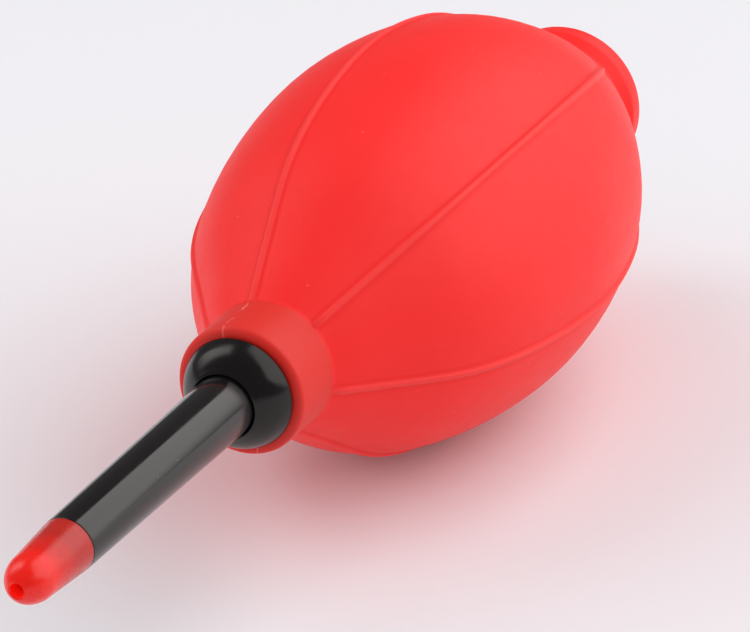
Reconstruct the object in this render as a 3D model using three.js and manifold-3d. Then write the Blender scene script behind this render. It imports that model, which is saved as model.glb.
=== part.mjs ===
// Dust blower bulb: a ribbed silicone squeeze bulb with a push-in nozzle in front and an inlet valve
// behind. Millimetres, +Z up. The bulb lies on its belly with its axis along Y, the nozzle towards -Y.
// The origin is on the resting plane, under the middle of the length and under the axis.
import * as THREE from "three";
import { mergeVertices } from "three/addons/utils/BufferGeometryUtils.js";
import Module from "manifold-3d";

const wasm = await Module();
wasm.setup();

// ---- Driving dimensions ----
const HALF_LENGTH = 83.5; // tip of the jet at -Y, rim of the rear collar at +Y
const BULB_RADIUS = 27.4; // over the panels between the ribs, and the height of the axis
const BELLY_FRONT = 21.5; // the belly runs straight between these two places
const BELLY_REAR = 33;
const WALL = 2.6; // silicone wall of the bulb
const GAP = 0.3; // between neighbouring pieces
const SIDES = 32; // facets round every turned piece
const SMALL_SIDES = 24; // facets round the valve's inner pieces
const HOLE_SIDES = 16; // facets round an inlet hole
const CLEAR = 1; // how far a cutting tool runs past the face that it cuts

const RIB_COUNT = 6;
const RIB_ANGLE = 46.8; // degrees from +X towards +Z to the first rib; the others follow at 60 degrees
const RIB_HEIGHT = 0.6;
const RIB_WIDTH = 1.7;

const COLLAR_RADIUS = 8.7; // front collar, round the ferrule's sleeve
const COLLAR_FRONT = -29.9;
const COLLAR_BASE = -21.3;
const COLLAR_EDGE = 0.8; // rounding of its front edge
const NECK_BORE = 5.7;
const NECK_BORE_END = -19.6; // where the neck opens into the air chamber

const REAR_NECK_RADIUS = 10.9;
const REAR_RIM_RADIUS = 12.2;
const REAR_RIM_LENGTH = 2.8;
const REAR_RIM_EDGE = 0.4; // rounding of its rear edge
const REAR_FLARE = 1.6; // length of the cone from the neck out to the rim
const REAR_BORE = 8.2;
const REAR_BORE_START = 74; // where the air chamber's back wall meets the bore
const CHAMBER_REAR = 73;
const CHAMBER_REAR_RADIUS = 9.8;
const VALVE_SEAT_RADIUS = 9.9; // pocket in the rear rim that takes the valve's flange
const VALVE_SEAT_DEPTH = 1.8;

const PAD_RADIUS = 17; // part of the wall that a thumb or fingers press in
const PAD_ANGLE = 16.8; // degrees from +X towards +Z: the middle of a panel
const PAD_CENTRE = 27.3; // along Y, at the widest place

const FLANGE_RADIUS = 7.4; // domed flange of the ferrule
const FLANGE_FRONT = -34.4;
const FLANGE_EDGE = 0.2;
const RECESS_RADIUS = 4.3; // mouth that takes the root of the tube
const RECESS_FLOOR = -31.2;
const SOCKET_RADIUS = 3.65;
const SLEEVE_END = -13.6;
const BARB_RADIUS = 6.5; // barb that holds the sleeve behind the neck
const BARB_FRONT = -17.6;
const BARB_CREST = -17.2;
const BARB_LEAD = 0.7; // drop from the sleeve to the narrow end of the barb's cone

const TUBE_FRONT = -72.45; // shoulder that the tip butts on
const TUBE_FRONT_RADIUS = 3.45;
const TUBE_ROOT_RADIUS = 4.15;
const TUBE_BORE = 2.2;
const PLUG_RADIUS = 3.5; // rear end of the tube, in the ferrule's socket
const PLUG_END = -15;
const PLUG_CHAMFER = 0.5;
const SPIGOT_RADIUS = 2.3; // front end of the tube, inside the tip
const SPIGOT_BORE = 1.5;
const SPIGOT_LENGTH = 5.5;
const BORE_STEP = 1; // length of the cone between the two bores, and its distance behind the shoulder

const TIP_SOCKET_RADIUS = 2.45;
const NOSE_START = -79.9; // where the tip's straight taper turns into its round nose
const NOSE_RADIUS = 2.92;
const NOSE_STEPS = 6;
const JET_RADIUS = 0.8;
const JET_FUNNEL = 0.6; // drop of the cone that leads from the socket to the jet

const VALVE_FLANGE_RADIUS = 9.6;
const VALVE_PLATE_THICKNESS = 1.5; // drilled plate whose inner face is the disc's seat
const VALVE_SLEEVE_RADIUS = 7.9;
const VALVE_SLEEVE_BORE = 6.6;
const VALVE_SLEEVE_END = 70.2;
const VALVE_BARB_RADIUS = 8.9;
const VALVE_BARB_LENGTH = 2;
const VALVE_EDGE = 0.3;
const INLET_COUNT = 6;
const INLET_RADIUS = 1.2;
const INLET_CIRCLE = 3.9;
const DISC_RADIUS = 6.2;
const DISC_THICKNESS = 1;
const DISC_TRAVEL = 1.2;
const RETAINER_RADIUS = 6.3;
const RETAINER_OPENING = 4.7;
const RETAINER_THICKNESS = 1.3;
const RETAINER_BAR = 1.3;

// ---- Materials ----
const redSilicone = new THREE.MeshStandardMaterial({ color: 0xf0403c, roughness: 0.55 });
const blackPlastic = new THREE.MeshStandardMaterial({ color: 0x1d1b1b, roughness: 0.18 });
const redPlastic = new THREE.MeshStandardMaterial({ color: 0xe03028, roughness: 0.25 });
const clearSilicone = new THREE.MeshStandardMaterial({ color: 0xd9d6cf, roughness: 0.5 });

// ---- Helpers ----
// A point of a turned outline: distance from the axis, then place along it.
const at = (radius, y) => new THREE.Vector2(radius, y);

// Turns a closed outline about the Y axis. Its outer side runs towards +Y. The flats lie on the true
// radius, and one of them faces straight down.
function turn(outline) {
  const flatsOut = 1 / Math.cos(Math.PI / SIDES);
  const points = outline.map((p) => at(p.x * flatsOut, p.y));
  return new THREE.LatheGeometry([...points, points[0]], SIDES, Math.PI / SIDES);
}

// Points of an arc of an outline, angles in degrees from the radial direction towards +Y.
function arc(radius, y, size, from, to, steps) {
  return Array.from({ length: steps + 1 }, (_, i) => {
    const angle = THREE.MathUtils.degToRad(from + ((to - from) * i) / steps);
    return at(radius + size * Math.cos(angle), y + size * Math.sin(angle));
  });
}

// A closed geometry as a manifold-3d solid, and back.
function solid(geometry) {
  const bare = geometry.clone();
  bare.deleteAttribute("normal");
  bare.deleteAttribute("uv");
  const merged = mergeVertices(bare, 1e-4);
  const vertProperties = merged.attributes.position.array;
  const triVerts = new Uint32Array(merged.index.array);
  return new wasm.Manifold(new wasm.Mesh({ numProp: 3, vertProperties, triVerts }));
}

function geometryOf(body) {
  const { vertProperties, triVerts } = body.getMesh();
  const geometry = new THREE.BufferGeometry();
  geometry.setAttribute("position", new THREE.BufferAttribute(vertProperties, 3));
  geometry.setIndex(new THREE.BufferAttribute(triVerts, 1));
  geometry.computeVertexNormals();
  return geometry;
}

function named(name, geometry, material) {
  const mesh = new THREE.Mesh(geometry, material);
  mesh.name = name;
  return mesh;
}

// A round bar along Y.
function bar(radius, y0, y1, sides) {
  const cylinder = new THREE.CylinderGeometry(radius, radius, y1 - y0, sides);
  return cylinder.translate(0, (y0 + y1) / 2, 0);
}

// ---- Bulb ----
// Outline of the skin, collar to rear neck: a full ogive on each side of a short straight belly.
function skinOutline() {
  const front = new THREE.SplineCurve([
    at(COLLAR_RADIUS, COLLAR_BASE),
    at(12.9, -15.4),
    at(20.7, -3.1),
    at(24.9, 9.1),
    at(BULB_RADIUS, BELLY_FRONT),
  ]);
  const rear = new THREE.SplineCurve([
    at(BULB_RADIUS, BELLY_REAR),
    at(25.5, 45.5),
    at(21.3, 57.6),
    at(15.2, 69.8),
    at(REAR_NECK_RADIUS, 76),
  ]);
  return [...front.getPoints(8), ...rear.getPoints(8)];
}

// The outline moved square to itself, away from the axis when distance is positive.
function shifted(outline, distance) {
  return outline.map((p, i) => {
    const before = outline[Math.max(i - 1, 0)];
    const after = outline[Math.min(i + 1, outline.length - 1)];
    const along = after.clone().sub(before).normalize();
    return at(p.x + along.y * distance, p.y - along.x * distance);
  });
}

function shellGeometry() {
  const skin = skinOutline();
  const chamber = shifted(skin, -WALL).filter((p) => p.x > NECK_BORE && p.y < CHAMBER_REAR);
  const rimStart = HALF_LENGTH - REAR_RIM_LENGTH;
  const pocket = HALF_LENGTH - VALVE_SEAT_DEPTH;
  return turn([
    at(NECK_BORE, COLLAR_FRONT),
    ...arc(COLLAR_RADIUS - COLLAR_EDGE, COLLAR_FRONT + COLLAR_EDGE, COLLAR_EDGE, -90, 0, 3),
    ...skin,
    at(REAR_NECK_RADIUS, rimStart - REAR_FLARE),
    at(REAR_RIM_RADIUS, rimStart),
    ...arc(REAR_RIM_RADIUS - REAR_RIM_EDGE, HALF_LENGTH - REAR_RIM_EDGE, REAR_RIM_EDGE, 0, 90, 2),
    at(VALVE_SEAT_RADIUS, HALF_LENGTH),
    at(VALVE_SEAT_RADIUS, pocket),
    at(REAR_BORE, pocket),
    at(REAR_BORE, REAR_BORE_START),
    at(CHAMBER_REAR_RADIUS, CHAMBER_REAR),
    ...chamber.reverse(),
    at(NECK_BORE, NECK_BORE_END),
  ]);
}

// One rib: a thin strip that follows the skin from the collar to the rear neck.
function ribGeometry(angle) {
  const skin = skinOutline();
  const crest = shifted(skin, RIB_HEIGHT);
  const root = shifted(skin, -WALL / 2);
  const strip = [...crest, ...root.reverse()].map((p) => at(p.y, p.x));
  const options = { depth: RIB_WIDTH, bevelEnabled: false };
  const geometry = new THREE.ExtrudeGeometry(new THREE.Shape(strip), options);
  geometry.translate(0, 0, -RIB_WIDTH / 2);
  const along = new THREE.Vector3(0, 1, 0);
  const out = new THREE.Vector3(0, 0, 1);
  const across = new THREE.Vector3(1, 0, 0);
  geometry.applyMatrix4(new THREE.Matrix4().makeBasis(along, out, across));
  return geometry.rotateY(THREE.MathUtils.degToRad(90 - angle));
}

// The round punch that parts a pad from the wall, on the side of the given angle.
function punch(radius, angle) {
  const cylinder = new THREE.CylinderGeometry(radius, radius, 2 * BULB_RADIUS, SIDES);
  cylinder.rotateZ(-Math.PI / 2).translate(BULB_RADIUS + CLEAR, PAD_CENTRE, 0);
  return solid(cylinder.rotateY(-THREE.MathUtils.degToRad(angle)));
}

function bulbPieces() {
  let shell = solid(shellGeometry());
  for (let i = 0; i < RIB_COUNT; i += 1) {
    shell = shell.add(solid(ribGeometry(RIB_ANGLE + (360 / RIB_COUNT) * i)));
  }
  const sides = [
    ["bulb_wall_right", PAD_ANGLE],
    ["bulb_wall_left", PAD_ANGLE + 180],
  ];
  const pads = sides.map(([name, angle]) =>
    named(name, geometryOf(shell.intersect(punch(PAD_RADIUS, angle))), redSilicone),
  );
  for (const [, angle] of sides) {
    shell = shell.subtract(punch(PAD_RADIUS + GAP, angle));
  }
  return [named("bulb", geometryOf(shell), redSilicone), ...pads];
}

// ---- Nozzle ----
// Its outline starts at the mouth of the recess, runs back over the dome and along the sleeve that the
// neck grips, over the barb, and returns through the socket.
function ferrule() {
  const seat = COLLAR_FRONT - GAP;
  const sleeve = NECK_BORE - GAP;
  const outline = [
    at(RECESS_RADIUS, FLANGE_FRONT + 0.05),
    at(RECESS_RADIUS + 0.1, FLANGE_FRONT),
    at(4.9, FLANGE_FRONT + 0.4),
    at(5.45, FLANGE_FRONT + 0.86),
    at(6.05, FLANGE_FRONT + 1.47),
    at(6.6, FLANGE_FRONT + 2.2),
    at(7, FLANGE_FRONT + 2.95),
    at(7.27, FLANGE_FRONT + 3.6),
    at(FLANGE_RADIUS, seat - FLANGE_EDGE),
    at(FLANGE_RADIUS - FLANGE_EDGE, seat),
    at(sleeve, seat),
    at(sleeve, BARB_FRONT),
    at(BARB_RADIUS, BARB_CREST),
    at(sleeve - BARB_LEAD, SLEEVE_END),
    at(SOCKET_RADIUS, SLEEVE_END),
    at(SOCKET_RADIUS, RECESS_FLOOR),
    at(RECESS_RADIUS, RECESS_FLOOR),
  ];
  return named("nozzle_ferrule", turn(outline), blackPlastic);
}

function tube() {
  const shoulder = RECESS_FLOOR - GAP;
  const outline = [
    at(SPIGOT_BORE, TUBE_FRONT - SPIGOT_LENGTH),
    at(SPIGOT_RADIUS, TUBE_FRONT - SPIGOT_LENGTH),
    at(SPIGOT_RADIUS, TUBE_FRONT),
    at(TUBE_FRONT_RADIUS, TUBE_FRONT),
    at(TUBE_ROOT_RADIUS, shoulder),
    at(PLUG_RADIUS, shoulder),
    at(PLUG_RADIUS, PLUG_END - PLUG_CHAMFER),
    at(PLUG_RADIUS - PLUG_CHAMFER, PLUG_END),
    at(TUBE_BORE, PLUG_END),
    at(TUBE_BORE, TUBE_FRONT + 2 * BORE_STEP),
    at(SPIGOT_BORE, TUBE_FRONT + BORE_STEP),
  ];
  return named("nozzle_tube", turn(outline), blackPlastic);
}

function tip() {
  const last = Math.acos(JET_RADIUS / NOSE_RADIUS);
  const noseLength = (NOSE_START + HALF_LENGTH) / Math.sin(last);
  const nose = Array.from({ length: NOSE_STEPS + 1 }, (_, i) => {
    const turned = last * (1 - i / NOSE_STEPS);
    return at(NOSE_RADIUS * Math.cos(turned), NOSE_START - noseLength * Math.sin(turned));
  });
  const socketFloor = TUBE_FRONT - SPIGOT_LENGTH - GAP;
  const outline = [
    ...nose,
    at(TUBE_FRONT_RADIUS, TUBE_FRONT - GAP),
    at(TIP_SOCKET_RADIUS, TUBE_FRONT - GAP),
    at(TIP_SOCKET_RADIUS, socketFloor),
    at(JET_RADIUS, socketFloor - JET_FUNNEL),
  ];
  return named("nozzle_tip", turn(outline), redPlastic);
}

// ---- Inlet valve ----
const flangeRear = HALF_LENGTH - GAP;
const flangeFront = HALF_LENGTH - VALVE_SEAT_DEPTH + GAP;
const seatFace = flangeRear - VALVE_PLATE_THICKNESS;
const discRear = seatFace - GAP;
const discFront = discRear - DISC_THICKNESS;
const retainerRear = discFront - DISC_TRAVEL - GAP;

function valveBody() {
  const outline = [
    at(VALVE_SLEEVE_BORE, VALVE_SLEEVE_END),
    at(VALVE_SLEEVE_RADIUS, VALVE_SLEEVE_END),
    at(VALVE_BARB_RADIUS, VALVE_SLEEVE_END + VALVE_BARB_LENGTH),
    at(VALVE_SLEEVE_RADIUS, VALVE_SLEEVE_END + VALVE_BARB_LENGTH + VALVE_EDGE),
    at(VALVE_SLEEVE_RADIUS, flangeFront),
    at(VALVE_FLANGE_RADIUS, flangeFront),
    at(VALVE_FLANGE_RADIUS, flangeRear - VALVE_EDGE),
    at(VALVE_FLANGE_RADIUS - VALVE_EDGE, flangeRear),
    at(0, flangeRear),
    at(0, seatFace),
    at(VALVE_SLEEVE_BORE, seatFace),
  ];
  let body = solid(turn(outline));
  for (let i = 0; i < INLET_COUNT; i += 1) {
    const angle = (i / INLET_COUNT) * 2 * Math.PI;
    const hole = bar(INLET_RADIUS, seatFace - CLEAR, flangeRear + CLEAR, HOLE_SIDES);
    hole.translate(INLET_CIRCLE * Math.cos(angle), 0, INLET_CIRCLE * Math.sin(angle));
    body = body.subtract(solid(hole));
  }
  return named("valve_body", geometryOf(body), blackPlastic);
}

function valveDisc() {
  return named("valve_disc", bar(DISC_RADIUS, discFront, discRear, SMALL_SIDES), clearSilicone);
}

// A ring with a cross in it, which keeps the disc near its seat.
function valveRetainer() {
  const front = retainerRear - RETAINER_THICKNESS;
  const opening = solid(bar(RETAINER_OPENING, front - CLEAR, retainerRear + CLEAR, SMALL_SIDES));
  let ring = solid(bar(RETAINER_RADIUS, front, retainerRear, SMALL_SIDES)).subtract(opening);
  const reach = RETAINER_OPENING + RETAINER_RADIUS;
  for (const [x, z] of [
    [reach, RETAINER_BAR],
    [RETAINER_BAR, reach],
  ]) {
    const spoke = new THREE.BoxGeometry(x, RETAINER_THICKNESS, z);
    ring = ring.add(solid(spoke.translate(0, (front + retainerRear) / 2, 0)));
  }
  return named("valve_retainer", geometryOf(ring), blackPlastic);
}

// ---- Assembly ----
const blower = new THREE.Group();
blower.add(...bulbPieces());
blower.add(ferrule(), tube(), tip());
blower.add(valveBody(), valveDisc(), valveRetainer());
blower.position.z = BULB_RADIUS;

export default blower;
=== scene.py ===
"""Looks of the dust blower bulb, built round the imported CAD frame. Lengths are in metres, and the
blower lies along Y with its jet towards -Y. MM turns the millimetres of the design into metres."""

import math

import bpy
from mathutils import Matrix, Vector, noise

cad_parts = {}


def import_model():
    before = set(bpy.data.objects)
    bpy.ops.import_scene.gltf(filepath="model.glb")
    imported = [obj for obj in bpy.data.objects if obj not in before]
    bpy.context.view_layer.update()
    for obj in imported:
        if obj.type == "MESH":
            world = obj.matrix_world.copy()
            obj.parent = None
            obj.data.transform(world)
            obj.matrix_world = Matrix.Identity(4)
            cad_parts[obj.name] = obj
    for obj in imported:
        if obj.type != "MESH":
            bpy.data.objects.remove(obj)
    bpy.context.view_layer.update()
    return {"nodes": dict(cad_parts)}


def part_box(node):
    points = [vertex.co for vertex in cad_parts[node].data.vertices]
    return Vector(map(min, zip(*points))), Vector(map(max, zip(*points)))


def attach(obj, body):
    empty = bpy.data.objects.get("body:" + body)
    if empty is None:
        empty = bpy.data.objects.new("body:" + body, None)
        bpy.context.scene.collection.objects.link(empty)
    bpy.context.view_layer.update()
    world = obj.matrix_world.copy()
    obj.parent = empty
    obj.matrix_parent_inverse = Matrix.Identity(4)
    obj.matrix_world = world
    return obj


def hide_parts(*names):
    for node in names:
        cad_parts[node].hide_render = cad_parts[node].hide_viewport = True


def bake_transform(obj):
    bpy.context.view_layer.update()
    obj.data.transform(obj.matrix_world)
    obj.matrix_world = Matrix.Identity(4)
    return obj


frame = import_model()

MM = 0.001

# ---- Places and sizes read from the frame ----


def front(node):
    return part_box(node)[0][1]


def rear(node):
    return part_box(node)[1][1]


def radius(node):
    low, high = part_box(node)
    return (high[0] - low[0]) / 2


AXIS_HEIGHT = (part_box("nozzle_tube")[0][2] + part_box("nozzle_tube")[1][2]) / 2
BELLY_RADIUS = AXIS_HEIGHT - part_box("bulb")[0][2]
COLLAR_FRONT = front("bulb")
RIM = rear("bulb")

# ---- Design sizes that the frame's boxes don't give: radii, and places along Y ----
# The bulb. Angles run from +X towards +Z.
WALL = 2.6 * MM
COLLAR_RADIUS = 8.7 * MM
COLLAR_BASE = -21.3 * MM
NECK_BORE = 5.7 * MM
NECK_BORE_END = -19.6 * MM
REAR_NECK_RADIUS = 10.9 * MM
REAR_NECK_START = 76 * MM
REAR_NECK_END = 78.9 * MM
RIM_RADIUS = 12.2 * MM
REAR_BORE = 8.2 * MM
REAR_BORE_START = 74 * MM
CHAMBER_REAR = 72.8 * MM
CHAMBER_REAR_RADIUS = 9.8 * MM
POCKET_RADIUS = 9.9 * MM
POCKET_DEPTH = 1.8 * MM
RIB_COUNT = 6
RIB_STEP = 2 * math.pi / RIB_COUNT
RIB_HEIGHT = 0.48 * MM
RIB_HALF_WIDTH = 0.75 * MM
PAD_ANGLE = math.radians(16.8)
SEAM_ANGLE = PAD_ANGLE + math.pi / 2  # the mould's parting plane, which runs through two ribs

# The nozzle.
FERRULE_MOUTH = 4.22 * MM
FERRULE_SLEEVE = 5.4 * MM
FERRULE_SOCKET = 3.65 * MM
FERRULE_BARB = 6.5 * MM
FERRULE_BARB_Y = -17.2 * MM
RECESS_FLOOR = -31.2 * MM
TUBE_ROOT = -31.5 * MM
TUBE_SHOULDER = -72.45 * MM
TUBE_FRONT_RADIUS = 3.45 * MM
TUBE_BORE = 2.2 * MM
PLUG_RADIUS = 3.5 * MM
SPIGOT_RADIUS = 2.3 * MM
SPIGOT_BORE = 1.5 * MM
TIP_SOCKET = 2.45 * MM
SHOULDER_CLEARANCE = 0.24 * MM
NOSE_START = -79.9 * MM
NOSE_RADIUS = 2.92 * MM
JET_RADIUS = 0.85 * MM

# The inlet valve.
VALVE_BORE = 6.6 * MM
VALVE_SLEEVE = 7.9 * MM
VALVE_BARB = 8.9 * MM
VALVE_PLATE = 1.5 * MM
VALVE_FACE_STEP = 0.35 * MM  # depth of the ring-shaped hollow that the inlet holes open into
VALVE_FACE_HOLLOW = (1.6 * MM, 6.2 * MM)  # its inner and outer radius
INLET_COUNT = 6
INLET_RADIUS = 1.2 * MM
INLET_CIRCLE = 3.9 * MM

AXIS = Vector((0, 0, AXIS_HEIGHT))

# Places of the mesh's columns across a rib, measured along the skin from its middle.
RIB_COLUMNS = [k * 0.16 * RIB_HALF_WIDTH for k in range(-14, 15)]
# The number of columns over the panel between two ribs, and the smallest radius that they are laid
# out for.
PANEL_COLUMNS = 12
MIN_COLUMN_RADIUS = 5.5 * MM


# ---- Outlines: lists of (radius, y) ----
def fillet(corners, steps=5):
    """Corners are (radius, y, rounding); the result has each corner turned into a small arc."""
    points = []
    count = len(corners)
    for i, (r, y, size) in enumerate(corners):
        here = Vector((r, y))
        if size <= 0:
            points.append(here)
            continue
        before = (Vector(corners[i - 1][:2]) - here).normalized()
        after = (Vector(corners[(i + 1) % count][:2]) - here).normalized()
        half = before.angle(after) / 2
        reach = size / math.tan(half)
        start, end = here + before * reach, here + after * reach
        for k in range(steps + 1):
            t = k / steps
            points.append(start * (1 - t) ** 2 + here * (2 * t * (1 - t)) + end * t**2)
    return [(p.x, p.y) for p in points]


def smooth_curve(points, steps):
    """Points of a centripetal Catmull-Rom curve through the given (radius, y) points."""
    pts = [Vector(p) for p in points]
    pts = [pts[0] * 2 - pts[1], *pts, pts[-1] * 2 - pts[-2]]
    result = []
    for p0, p1, p2, p3 in zip(pts, pts[1:], pts[2:], pts[3:]):
        t1 = (p1 - p0).length ** 0.5
        t2 = t1 + (p2 - p1).length ** 0.5
        t3 = t2 + (p3 - p2).length ** 0.5
        for k in range(steps):
            t = t1 + (t2 - t1) * k / steps
            a1 = p0.lerp(p1, t / t1)
            a2 = p1.lerp(p2, (t - t1) / (t2 - t1))
            a3 = p2.lerp(p3, (t - t2) / (t3 - t2))
            b1 = a1.lerp(a2, t / t2)
            b2 = a2.lerp(a3, (t - t1) / (t3 - t1))
            result.append(b1.lerp(b2, (t - t1) / (t2 - t1)))
    result.append(pts[-2])
    return [(p.x, p.y) for p in result]


def inset(outline, distance):
    """The outline moved square to itself towards the axis."""
    moved = []
    for i, (r, y) in enumerate(outline):
        before = Vector(outline[max(i - 1, 0)])
        after = Vector(outline[min(i + 1, len(outline) - 1)])
        along = (after - before).normalized()
        moved.append((r - along.y * distance, y + along.x * distance))
    return moved


# ---- Meshes ----
def new_object(name, vertices, faces, material, sharp=35):
    mesh = bpy.data.meshes.new(name)
    mesh.from_pydata([tuple(v) for v in vertices], [], faces)
    mesh.validate()
    mesh.update()
    mesh.shade_smooth()
    mesh.set_sharp_from_angle(angle=math.radians(sharp))
    mesh.materials.append(material)
    obj = bpy.data.objects.new(name, mesh)
    bpy.context.scene.collection.objects.link(obj)
    return obj


def ring_point(r, y, angle):
    return (r * math.cos(angle), y, AXIS_HEIGHT + r * math.sin(angle))


def turned(name, outline, material, columns):
    """A solid turned about the blower's axis from a closed outline, whose outer side runs to +Y."""
    vertices = []
    rows = []
    for r, y in outline:
        if r < 1e-6:
            rows.append([len(vertices)] * columns)
            vertices.append((0, y, AXIS_HEIGHT))
            continue
        rows.append(list(range(len(vertices), len(vertices) + columns)))
        vertices += [ring_point(r, y, 2 * math.pi * k / columns) for k in range(columns)]
    faces = []
    for lower, upper in zip(rows, rows[1:] + rows[:1]):
        for k in range(columns):
            m = (k + 1) % columns
            corners = list(dict.fromkeys((lower[k], upper[k], upper[m], lower[m])))
            if len(corners) > 2:
                faces.append(corners)
    return new_object(name, vertices, faces, material)


# ---- Materials ----
class Nodes:
    """A material's node tree, with short calls for the nodes used here."""

    def __init__(self, name, **surface):
        self.material = bpy.data.materials.new(name)
        self.material.use_nodes = True
        self.tree = self.material.node_tree
        self.shader = self.tree.nodes["Principled BSDF"]
        for socket, value in surface.items():
            self.shader.inputs[socket.replace("_", " ")].default_value = value
        place = self.tree.nodes.new("ShaderNodeTexCoord")
        self.place = place.outputs["Object"]

    def link(self, source, target):
        self.tree.links.new(source, target)

    def noise(self, scale, detail):
        node = self.tree.nodes.new("ShaderNodeTexNoise")
        node.inputs["Scale"].default_value = scale
        node.inputs["Detail"].default_value = detail
        self.link(self.place, node.inputs["Vector"])
        return node.outputs["Fac"]

    def cells(self, scale):
        node = self.tree.nodes.new("ShaderNodeTexVoronoi")
        node.inputs["Scale"].default_value = scale
        self.link(self.place, node.inputs["Vector"])
        return node.outputs["Distance"]

    def span(self, value, low, high, out_low=0.0, out_high=1.0):
        node = self.tree.nodes.new("ShaderNodeMapRange")
        self.link(value, node.inputs["Value"])
        limits = {"From Min": low, "From Max": high, "To Min": out_low, "To Max": out_high}
        for socket, number in limits.items():
            node.inputs[socket].default_value = number
        return node.outputs["Result"]

    def attribute(self, name):
        """A number that each vertex of the mesh carries."""
        node = self.tree.nodes.new("ShaderNodeAttribute")
        node.attribute_name = name
        return node.outputs["Fac"]

    def axis(self, name):
        """One coordinate of the surface point: X, Y or Z."""
        node = self.tree.nodes.new("ShaderNodeSeparateXYZ")
        self.link(self.place, node.inputs["Vector"])
        return node.outputs[name]

    def above_axis(self):
        """Height above the blower's axis."""
        return self.math("SUBTRACT", self.axis("Z"), AXIS_HEIGHT)

    def math(self, operation, a, b=0.0):
        node = self.tree.nodes.new("ShaderNodeMath")
        node.operation = operation
        for socket, value in zip(node.inputs, (a, b)):
            if isinstance(value, (int, float)):
                socket.default_value = value
            else:
                self.link(value, socket)
        return node.outputs["Value"]

    def mix(self, factor, a, b):
        node = self.tree.nodes.new("ShaderNodeMix")
        node.data_type = "RGBA"
        self.link(factor, node.inputs[0])
        for socket, value in ((node.inputs[6], a), (node.inputs[7], b)):
            if isinstance(value, tuple):
                socket.default_value = value
            else:
                self.link(value, socket)
        return node.outputs[2]

    def bump(self, height, strength, distance):
        node = self.tree.nodes.new("ShaderNodeBump")
        node.inputs["Strength"].default_value = strength
        node.inputs["Distance"].default_value = distance
        self.link(height, node.inputs["Height"])
        self.link(node.outputs["Normal"], self.shader.inputs["Normal"])

    def feed(self, socket, value):
        self.link(value, self.shader.inputs[socket])


def near_rib(distance):
    """1 on the middle of a rib, falling evenly to 0 where the dense columns beside it end."""
    return max(1 - distance / RIB_COLUMNS[-1], 0)


def red_silicone():
    """Matt red silicone: a soft bloom at grazing angles, faint mottling and a few specks of lint. The
    ribs carry a painted highlight along their crests and painted shade at their feet. The front collar
    is painted darker, as painted shade, with faint ragged flash along the seam of the mould."""
    n = Nodes("red_silicone", IOR=1.40, Sheen_Weight=0.05, Sheen_Roughness=0.45)
    n.shader.inputs["Sheen Tint"].default_value = (1.0, 0.72, 0.68, 1)
    mottle = n.span(n.noise(70, 4), 0.3, 0.7)
    body = n.mix(mottle, (0.97, 0.012, 0.010, 1), (1.0, 0.017, 0.014, 1))
    collar = n.span(n.axis("Y"), COLLAR_BASE + 0.2 * MM, COLLAR_BASE - 0.4 * MM)
    behind_collar = n.math("SUBTRACT", 1.0, collar)
    before_neck = n.span(n.axis("Y"), REAR_NECK_START, REAR_NECK_START - 3 * MM)
    ribbed = n.math("MULTIPLY", before_neck, behind_collar)
    # Painted shade: the feet of the ribs are painted a deeper, darker red.
    foot = n.span(n.attribute("near_rib"), near_rib(1.25 * MM), near_rib(0.7 * MM), 0, 0.6)
    body = n.mix(n.math("MULTIPLY", foot, ribbed), body, (0.90, 0.003, 0.003, 1))
    # Painted highlight: the crests of the ribs are painted a paler red.
    crest = n.span(n.attribute("near_rib"), near_rib(0.6 * MM), near_rib(0.3 * MM), 0, 0.5)
    body = n.mix(n.math("MULTIPLY", crest, ribbed), body, (1.0, 0.060, 0.052, 1))
    # Painted shade: the front collar is painted a darker red.
    body = n.mix(collar, body, (0.74, 0.021, 0.012, 1))
    sideways = n.math("MULTIPLY", n.axis("X"), math.cos(PAD_ANGLE))
    upwards = n.math("MULTIPLY", n.above_axis(), math.sin(PAD_ANGLE))
    ragged = n.span(n.noise(800, 2), 0.3, 0.7, -0.35 * MM, 0.35 * MM)
    seam = n.math("ADD", n.math("ADD", sideways, upwards), ragged)
    line = n.span(n.math("ABSOLUTE", seam), 0.2 * MM, 0.05 * MM)
    broken = n.span(n.noise(450, 1), 0.42, 0.58, 0.0, 0.5)
    flash = n.math("MULTIPLY", n.math("MULTIPLY", line, collar), broken)
    body = n.mix(flash, body, (0.93, 0.30, 0.24, 1))
    speck = n.math("LESS_THAN", n.cells(420), 0.07)
    rare = n.math("GREATER_THAN", n.noise(310, 0), 0.62)
    lint = n.math("MULTIPLY", n.math("MULTIPLY", speck, rare), 0.30)
    n.feed("Base Color", n.mix(lint, body, (0.98, 0.30, 0.27, 1)))
    n.feed("Roughness", n.span(n.noise(420, 3), 0.3, 0.7, 0.49, 0.55))
    n.bump(n.noise(1700, 3), 0.12, 0.05 * MM)
    return n.material


def black_plastic(name, ior, smoothest, roughest):
    """Polished black moulding with a trace of flow waviness and a few specks of dust."""
    n = Nodes(name, IOR=ior)
    n.shader.inputs["Specular Tint"].default_value = (1.0, 0.95, 0.90, 1)
    dust = n.math("LESS_THAN", n.cells(900), 0.05)
    rare = n.math("GREATER_THAN", n.noise(500, 0), 0.62)
    dusty = n.math("MULTIPLY", dust, rare)
    n.feed("Base Color", n.mix(dusty, (0.007, 0.006, 0.006, 1), (0.30, 0.28, 0.27, 1)))
    n.feed("Roughness", n.span(n.noise(350, 3), 0.3, 0.7, smoothest, roughest))
    n.bump(n.noise(220, 1), 0.15, 0.02 * MM)
    return n.material


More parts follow.
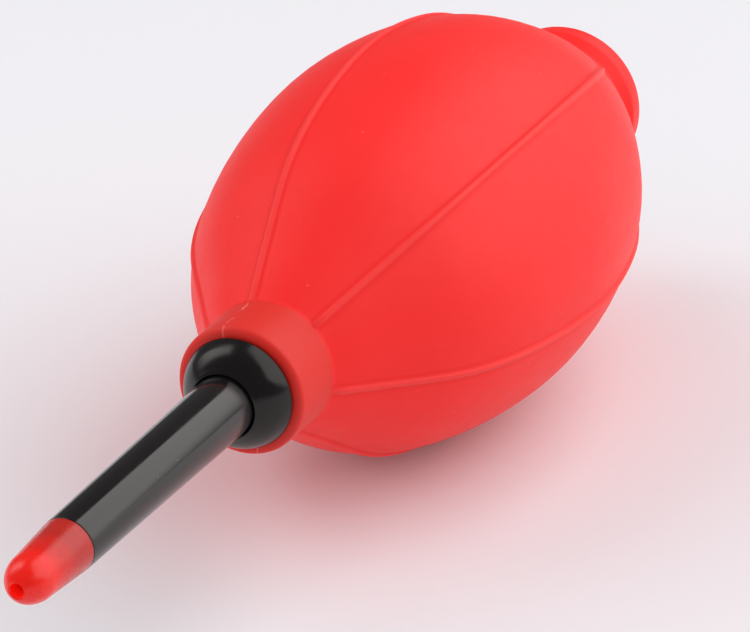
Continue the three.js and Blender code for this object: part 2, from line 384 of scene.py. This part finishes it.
def red_plastic():
    """Glossy red with some translucency. Its colour is painted lighter at the solid nose as a painted
    glow and darker over the spigot as painted shade, and the jet carries a painted glow of emission."""
    n = Nodes("red_plastic", IOR=1.46, Subsurface_Weight=0.75, Subsurface_Scale=2.4 * MM)
    n.shader.inputs["Subsurface Radius"].default_value = (1.0, 0.12, 0.08)
    spigot_end = front("nozzle_tube")
    # Painted glow and painted shade: the nose is painted a brighter red, the body over the spigot a
    # darker red.
    nose = n.span(n.axis("Y"), spigot_end + 2.6 * MM, spigot_end - 2.0 * MM)
    n.feed("Base Color", n.mix(nose, (0.51, 0.018, 0.011, 1), (0.88, 0.013, 0.006, 1)))
    x, z = n.axis("X"), n.above_axis()
    from_axis = n.math("SQRT", n.math("ADD", n.math("MULTIPLY", x, x), n.math("MULTIPLY", z, z)))
    # Painted glow: a faint red emission inside the jet stands for light that passes through the nose.
    n.shader.inputs["Emission Color"].default_value = (1.0, 0.015, 0.010, 1)
    jet = n.span(from_axis, JET_RADIUS + 0.13 * MM, JET_RADIUS - 0.01 * MM, 0, 0.28)
    n.feed("Emission Strength", jet)
    n.feed("Roughness", n.span(n.noise(500, 3), 0.3, 0.7, 0.24, 0.30))
    n.bump(n.noise(420, 1), 0.03, 0.02 * MM)
    return n.material


def clear_silicone():
    """Milky soft silicone of the inlet disc."""
    n = Nodes("clear_silicone", Roughness=0.45, IOR=1.42, Transmission_Weight=0.25)
    tone = n.span(n.noise(300, 3), 0.3, 0.7)
    n.feed("Base Color", n.mix(tone, (0.70, 0.68, 0.63, 1), (0.78, 0.76, 0.72, 1)))
    n.bump(n.noise(1500, 2), 0.1, 0.03 * MM)
    return n.material


def floor_paper():
    """Plain matt paper, with tones that differ by a trace."""
    n = Nodes("floor_paper", Roughness=0.8, Specular_IOR_Level=0.2)
    tone = n.span(n.noise(6, 2), 0.3, 0.7)
    n.feed("Base Color", n.mix(tone, (0.824, 0.816, 0.840, 1), (0.834, 0.826, 0.850, 1)))
    return n.material


SILICONE = red_silicone()
BLACK = black_plastic("black_plastic", ior=1.58, smoothest=0.10, roughest=0.17)
DULL_BLACK = black_plastic("black_plastic_dull", ior=1.41, smoothest=0.17, roughest=0.24)
RED = red_plastic()
MILKY = clear_silicone()


# ---- Bulb ----
def skin_outline():
    """Outer side of the bulb, collar base to rear neck."""
    controls = [
        (COLLAR_RADIUS, COLLAR_BASE),
        (12.9 * MM, -15.3 * MM),
        (20.7 * MM, -3.1 * MM),
        (24.9 * MM, 9.1 * MM),
        (BELLY_RADIUS, 27.3 * MM),
        (25.5 * MM, 45.5 * MM),
        (21.3 * MM, 57.6 * MM),
        (15.2 * MM, 69.8 * MM),
        (REAR_NECK_RADIUS, REAR_NECK_START),
    ]
    return smooth_curve(controls, 14)


def bulb_outline():
    """The bulb's whole section as a closed outline, and how many of its first points lie before the
    rear neck, where the ribs and the flash are."""
    skin = skin_outline()
    collar_end = COLLAR_BASE - 0.6 * MM
    collar = fillet(
        [
            (NECK_BORE, COLLAR_FRONT, 0.3 * MM),
            (COLLAR_RADIUS - 0.1 * MM, COLLAR_FRONT, 0.8 * MM),
            (COLLAR_RADIUS, collar_end, 0),
            (NECK_BORE, collar_end, 0),
        ]
    )[:-1]
    pocket = RIM - POCKET_DEPTH
    rim = fillet(
        [
            (REAR_NECK_RADIUS - 0.15 * MM, REAR_NECK_START + 1.2 * MM, 0.6 * MM),
            (REAR_NECK_RADIUS + 0.15 * MM, REAR_NECK_END, 0.6 * MM),
            (RIM_RADIUS, REAR_NECK_END + 1.6 * MM, 1.1 * MM),
            (RIM_RADIUS, RIM, 0.5 * MM),
            (POCKET_RADIUS, RIM, 0.2 * MM),
            (POCKET_RADIUS, pocket, 0.1 * MM),
            (REAR_BORE, pocket, 0.1 * MM),
            (REAR_BORE, REAR_BORE_START, 0.4 * MM),
            (CHAMBER_REAR_RADIUS, CHAMBER_REAR, 0.2 * MM),
        ]
    )
    inside = [
        (r, y)
        for r, y in inset(skin, WALL)
        if r > NECK_BORE + 0.2 * MM and NECK_BORE_END - 0.4 * MM < y < CHAMBER_REAR - 0.2 * MM
    ]
    throat = fillet(
        [
            (NECK_BORE, NECK_BORE_END, 0.5 * MM),
            (NECK_BORE, COLLAR_FRONT, 0),
            (NECK_BORE + MM, NECK_BORE_END + 0.6 * MM, 0),
        ]
    )[:-2]
    return [*collar, *skin, *rim, *inside[::2][::-1], *throat], len(collar) + len(skin)


def rib_rise(s):
    """Height of a rib's section at s from its middle, with the faint groove at its foot."""
    crest = math.exp(-((abs(s) / (0.62 * RIB_HALF_WIDTH)) ** 2.6))
    foot = math.exp(-(((abs(s) - 1.35 * RIB_HALF_WIDTH) / (0.35 * RIB_HALF_WIDTH)) ** 2))
    return RIB_HEIGHT * (crest - 0.08 * foot)


def rib_fade(y):
    """1 along the bulb, falling to 0 where the ribs run out at the two collars."""
    start = min(max((y - COLLAR_BASE) / (1.2 * MM), 0), 1)
    end = min(max((REAR_NECK_START - MM - y) / (3 * MM), 0), 1)
    return start * end


def column_angles(r, first, panels):
    """Angles of the columns for a row of radius r: dense across each rib, even over each panel."""
    edge = RIB_COLUMNS[-1] / r
    gap = (RIB_STEP - 2 * edge) / (PANEL_COLUMNS + 1)
    angles = []
    for k in range(panels + 1):
        rib = first + k * RIB_STEP
        offsets = [s / r for s in RIB_COLUMNS]
        if k == 0:
            offsets = [o for o in offsets if o >= -1e-12]
        if k == panels:
            offsets = [o for o in offsets if o <= 1e-12]
        angles += [rib + o for o in offsets]
        if k < panels:
            angles += [rib + edge + gap * (m + 1) for m in range(PANEL_COLUMNS)]
    return angles


def rib_offset(angle, first):
    """The angle from the nearest rib."""
    return (angle - first + RIB_STEP / 2) % RIB_STEP - RIB_STEP / 2


def flash_rise(y, distance):
    """The ragged flash that the mould leaves along the seam of the front collar."""
    if not COLLAR_FRONT + 0.8 * MM < y < COLLAR_BASE + 0.5 * MM:
        return 0
    ragged = 0.5 + 0.8 * noise.noise(Vector((0, y * 1400, 3.7)))
    return max(ragged, 0) * 0.14 * MM * math.exp(-((distance / (0.16 * MM)) ** 2))


def bulb_half(name, first):
    """Half of the bulb, between two opposite ribs on the mould's parting plane."""
    outline, ribbed_count = bulb_outline()
    vertices = []
    nearness = []
    columns = 0
    for i, (r, y) in enumerate(outline):
        span = max(r, MIN_COLUMN_RADIUS)
        angles = column_angles(span, first, RIB_COUNT // 2)
        columns = len(angles)
        for angle in angles:
            rise, near = 0, 0
            if i < ribbed_count:
                offset = rib_offset(angle, first) * span
                seam = min(abs(angle - first), abs(angle - first - math.pi)) * r
                rise = rib_rise(offset) * rib_fade(y) + flash_rise(y, seam)
                near = near_rib(abs(offset))
            vertices.append(ring_point(r + rise, y, angle))
            nearness.append(near)
    rows = len(outline)
    faces = []
    for i in range(rows):
        j = (i + 1) % rows
        for k in range(columns - 1):
            a, b = i * columns + k, j * columns + k
            faces.append((a, b, b + 1, a + 1))
    faces.append([i * columns for i in range(rows)])
    faces.append([i * columns + columns - 1 for i in reversed(range(rows))])
    obj = new_object(name, vertices, faces, SILICONE, 40)
    obj.data.attributes.new("near_rib", "FLOAT", "POINT").data.foreach_set("value", nearness)
    return obj


for side, first in ((1, SEAM_ANGLE - math.pi), (-1, SEAM_ANGLE)):
    word = "right" if side > 0 else "left"
    half = bulb_half(f"bulb_skin_{word}", first)
    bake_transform(half)
    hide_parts("bulb", f"bulb_wall_{word}")


# ---- Ferrule, tube and tip ----
def ferrule():
    """Domed ring round the tube's root, with a barbed sleeve inside the front collar."""
    face = front("nozzle_ferrule")
    back = COLLAR_FRONT - 0.3 * MM
    flange = radius("nozzle_ferrule")
    end = rear("nozzle_ferrule")
    crown = smooth_curve(
        [
            (FERRULE_MOUTH, face + 0.16 * MM),
            (FERRULE_MOUTH + 0.03 * MM, face + 0.05 * MM),
            (FERRULE_MOUTH + 0.13 * MM, face),
            (FERRULE_MOUTH + 0.26 * MM, face + 0.06 * MM),
            (4.9 * MM, face + 0.4 * MM),
            (5.45 * MM, face + 0.86 * MM),
            (6.05 * MM, face + 1.47 * MM),
            (6.6 * MM, face + 2.2 * MM),
            (7.0 * MM, face + 2.95 * MM),
            (7.27 * MM, face + 3.6 * MM),
            (flange, back - 0.2 * MM),
            (flange - 0.04 * MM, back - 0.08 * MM),
            (flange - 0.25 * MM, back),
        ],
        8,
    )
    shank = fillet(
        [
            (FERRULE_SLEEVE, back, 0.15 * MM),
            (FERRULE_SLEEVE, FERRULE_BARB_Y - 0.4 * MM, 0.1 * MM),
            (FERRULE_BARB, FERRULE_BARB_Y, 0.15 * MM),
            (FERRULE_SLEEVE - 0.7 * MM, end, 0.2 * MM),
            (FERRULE_SOCKET, end, 0.15 * MM),
            (FERRULE_SOCKET, RECESS_FLOOR, 0.1 * MM),
            (FERRULE_MOUTH, RECESS_FLOOR, 0.1 * MM),
        ]
    )
    return turned("nozzle_ferrule_skin", [*crown, *shank], DULL_BLACK, 144)


def tube():
    """Tapered tube between its spigot, inside the tip, and its plug, inside the ferrule."""
    spigot_end = front("nozzle_tube")
    end = rear("nozzle_tube")
    corners = [
        (SPIGOT_BORE, spigot_end, 0.1 * MM),
        (SPIGOT_RADIUS, spigot_end, 0.3 * MM),
        (SPIGOT_RADIUS, TUBE_SHOULDER, 0.05 * MM),
        (TUBE_FRONT_RADIUS, TUBE_SHOULDER, 0.12 * MM),
        (radius("nozzle_tube"), TUBE_ROOT, 0.1 * MM),
        (PLUG_RADIUS, TUBE_ROOT, 0.05 * MM),
        (PLUG_RADIUS, end, 0.4 * MM),
        (TUBE_BORE, end, 0.1 * MM),
        (TUBE_BORE, TUBE_SHOULDER + 2 * MM, 0.1 * MM),
        (SPIGOT_BORE, TUBE_SHOULDER + MM, 0.1 * MM),
    ]
    return turned("nozzle_tube_skin", fillet(corners), BLACK, 128)


def tip():
    """Bullet tip: a straight taper, then an elliptical nose round the mouth of the jet. Its rear closes
    the clearance that the CAD model leaves at the tube's shoulder."""
    nose = front("nozzle_tip")
    back = rear("nozzle_tip") + SHOULDER_CLEARANCE
    floor = front("nozzle_tube") - 0.3 * MM
    steps = 26
    last = math.acos((JET_RADIUS + 0.2 * MM) / NOSE_RADIUS)
    height = (NOSE_START - nose) / math.sin(last)
    turns = [last * (1 - k / steps) for k in range(steps + 1)]
    arc = [(NOSE_RADIUS * math.cos(turn), NOSE_START - height * math.sin(turn)) for turn in turns]
    mouth = fillet(
        [
            (JET_RADIUS, floor, 0),
            (JET_RADIUS, nose + 0.12 * MM, 0.12 * MM),
            (arc[0][0], nose, 0),
        ]
    )[1:-1]
    body = fillet(
        [
            (NOSE_RADIUS, NOSE_START, 0),
            (radius("nozzle_tip"), back, 0.12 * MM),
            (TIP_SOCKET, back, 0.1 * MM),
            (TIP_SOCKET, floor, 0.3 * MM),
            (JET_RADIUS, floor - 0.6 * MM, 0.1 * MM),
        ]
    )[1:]
    return turned("nozzle_tip_skin", [*mouth, *arc, *body], RED, 128)


# ---- Inlet valve ----
def cut_inlets(obj, y0, y1):
    """Cuts the ring of inlet holes, which run along Y."""
    cutters = []
    for k in range(INLET_COUNT):
        angle = 2 * math.pi * k / INLET_COUNT
        x, z = INLET_CIRCLE * math.cos(angle), INLET_CIRCLE * math.sin(angle)
        bpy.ops.mesh.primitive_cylinder_add(
            vertices=40,
            radius=INLET_RADIUS,
            depth=y1 - y0,
            rotation=(math.pi / 2, 0, 0),
            location=(x, (y0 + y1) / 2, AXIS_HEIGHT + z),
        )
        cutters.append(bpy.context.object)
    for cutter in cutters:
        modifier = obj.modifiers.new("hole", "BOOLEAN")
        modifier.object = cutter
        modifier.operation = "DIFFERENCE"
        modifier.solver = "EXACT"
    bpy.context.view_layer.update()
    depsgraph = bpy.context.evaluated_depsgraph_get()
    cut = bpy.data.meshes.new_from_object(obj.evaluated_get(depsgraph))
    obj.modifiers.clear()
    obj.data = cut
    cut.shade_smooth()
    cut.set_sharp_from_angle(angle=math.radians(35))
    for cutter in cutters:
        bpy.data.objects.remove(cutter)


def valve_body():
    """Plug with a drilled plate, whose outer face has a shallow ring-shaped hollow round the holes."""
    face = rear("valve_body")
    seat = face - VALVE_PLATE
    flange_front = seat + 0.3 * MM
    hollow = face - VALVE_FACE_STEP
    inner, outer = VALVE_FACE_HOLLOW
    slope = 0.3 * MM
    end = front("valve_body")
    flange = radius("valve_body")
    corners = [
        (VALVE_BORE, end, 0.1 * MM),
        (VALVE_SLEEVE, end, 0.1 * MM),
        (VALVE_BARB, end + 2 * MM, 0.15 * MM),
        (VALVE_SLEEVE, end + 2.2 * MM, 0.05 * MM),
        (VALVE_SLEEVE, flange_front, 0.1 * MM),
        (flange, flange_front, 0.1 * MM),
        (flange, face, 0.35 * MM),
        (outer, face, 0.2 * MM),
        (outer - slope, hollow, 0.2 * MM),
        (inner + slope, hollow, 0.2 * MM),
        (inner, face, 0.2 * MM),
        (0, face, 0),
        (0, seat, 0),
        (VALVE_BORE, seat, 0.1 * MM),
    ]
    obj = turned("valve_body_skin", fillet(corners), DULL_BLACK, 120)
    cut_inlets(obj, seat - MM, face + MM)
    return obj


def valve_disc():
    """Loose disc behind the drilled plate."""
    low, high = front("valve_disc"), rear("valve_disc")
    edge = radius("valve_disc")
    corners = [
        (0, low, 0),
        (edge, low, 0.25 * MM),
        (edge, high, 0.25 * MM),
        (0, high, 0),
    ]
    return turned("valve_disc_skin", fillet(corners), MILKY, 96)


for piece, node, body, slot in (
    (ferrule(), "nozzle_ferrule", "body", "black_plastic"),
    (tube(), "nozzle_tube", "nozzle", "black_plastic"),
    (tip(), "nozzle_tip", "tip", "red_plastic"),
    (valve_body(), "valve_body", "body", "black_plastic"),
    (valve_disc(), "valve_disc", "valve_disc", "clear_silicone"),
):
    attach(piece, body)
    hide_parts(node)

retainer = frame["nodes"]["valve_retainer"]
retainer.data.materials.clear()
retainer.data.materials.append(DULL_BLACK)


# ---- Stage, lights and camera ----
def floor():
    """Sheet of paper a trace below the surface that the blower lies on."""
    size = 3.0
    z = -0.2 * MM
    corners = [(-size, -size, z), (size, -size, z), (size, size, z), (-size, size, z)]
    obj = new_object("floor", corners, [(0, 1, 2, 3)], floor_paper())


def softbox(name, direction, up, distance, width, height, radiance, soft=(0, 0, 0, 0)):
    """A rectangular light that faces the blower from the given direction, with its height along up. The
    four numbers of soft are the shares of its width and height over which it fades in from its edges."""
    light = bpy.data.lights.new(name, "AREA")
    light.shape = "RECTANGLE"
    light.size = width
    light.size_y = height
    light.energy = radiance * math.pi * width * height
    light.use_nodes = True
    tree = light.node_tree
    emission = tree.nodes["Emission"]
    place = tree.nodes.new("ShaderNodeNewGeometry")
    split = tree.nodes.new("ShaderNodeSeparateXYZ")
    tree.links.new(place.outputs["Parametric"], split.inputs["Vector"])
    strength = None
    for axis, edge, share in zip("XXYY", (0, 1, 0, 1), soft):
        if share <= 0:
            continue
        ramp = tree.nodes.new("ShaderNodeMapRange")
        ramp.interpolation_type = "SMOOTHSTEP"
        ramp.inputs["From Min"].default_value = edge
        ramp.inputs["From Max"].default_value = edge + share * (1 - 2 * edge)
        tree.links.new(split.outputs[axis], ramp.inputs["Value"])
        result = ramp.outputs["Result"]
        if strength is not None:
            product = tree.nodes.new("ShaderNodeMath")
            product.operation = "MULTIPLY"
            tree.links.new(strength, product.inputs[0])
            tree.links.new(result, product.inputs[1])
            result = product.outputs["Value"]
        strength = result
    if strength is not None:
        tree.links.new(strength, emission.inputs["Strength"])
    obj = bpy.data.objects.new(name, light)
    bpy.context.scene.collection.objects.link(obj)
    way = Vector(direction).normalized()
    across = Vector(up).cross(way).normalized()
    turn = Matrix((across, way.cross(across), way)).transposed().to_4x4()
    obj.matrix_world = Matrix.Translation(AXIS + way * distance) @ turn
    obj.visible_camera = False
    return obj


def world():
    """Even fill light for the surfaces, with dark surroundings for their reflections."""
    scene_world = bpy.data.worlds.new("studio")
    bpy.context.scene.world = scene_world
    scene_world.use_nodes = True
    tree = scene_world.node_tree
    back = tree.nodes["Background"]
    path = tree.nodes.new("ShaderNodeLightPath")
    strength = tree.nodes.new("ShaderNodeMapRange")
    strength.inputs["To Min"].default_value = 0.30
    strength.inputs["To Max"].default_value = 0.14
    tree.links.new(path.outputs["Is Glossy Ray"], strength.inputs["Value"])
    tree.links.new(strength.outputs["Result"], back.inputs["Strength"])
    back.inputs["Color"].default_value = (0.98, 0.96, 1.0, 1)


def camera():
    """The photograph's camera, from a fit to the outlines and ribs that it shows."""
    azimuth, elevation, roll = math.radians(24.05), math.radians(24.63), math.radians(0.34)
    aim = Vector((11.7 * MM, -15.3 * MM, 33.9 * MM))
    distance = 0.36
    data = bpy.data.cameras.new("camera")
    data.sensor_width = 36
    data.lens = 138.3
    obj = bpy.data.objects.new("camera", data)
    bpy.context.scene.collection.objects.link(obj)
    turn = Matrix.Rotation(azimuth, 4, "Z") @ Matrix.Rotation(math.pi / 2 - elevation, 4, "X")
    turn = turn @ Matrix.Rotation(roll, 4, "Z")
    back = turn @ Vector((0, 0, 1))
    obj.matrix_world = Matrix.Translation(aim + back * distance) @ turn
    bpy.context.scene.camera = obj


floor()
UP = (0, 0, 1)
softbox(
    "softbox_left",
    direction=(-0.80, -0.05, 0.60),
    up=UP,
    distance=0.8,
    width=0.44,
    height=1.05,
    radiance=2.4,
    soft=(0.25, 0.25, 0.5, 0.12),
)
softbox(
    "softbox_right",
    direction=(0.643, 0.4925, 0.587),
    up=(0, -0.766, 0.643),
    distance=1.0,
    width=1.68,
    height=1.9,
    radiance=1.8,
    soft=(0.08, 0.01, 0.35, 0.1),
)
for name, direction, radiance in (
    ("softbox_fill", (-0.72, -0.62, 0.24), 1.4),
    ("softbox_front", (0.15, -0.62, 0.75), 0.55),
):
    light = softbox(name, direction, UP, distance=1.4, width=1.2, height=1.2, radiance=radiance)
    light.visible_glossy = False
world()
camera()
bpy.context.scene.view_settings.view_transform = "Standard"
bpy.context.scene.view_settings.look = "None"
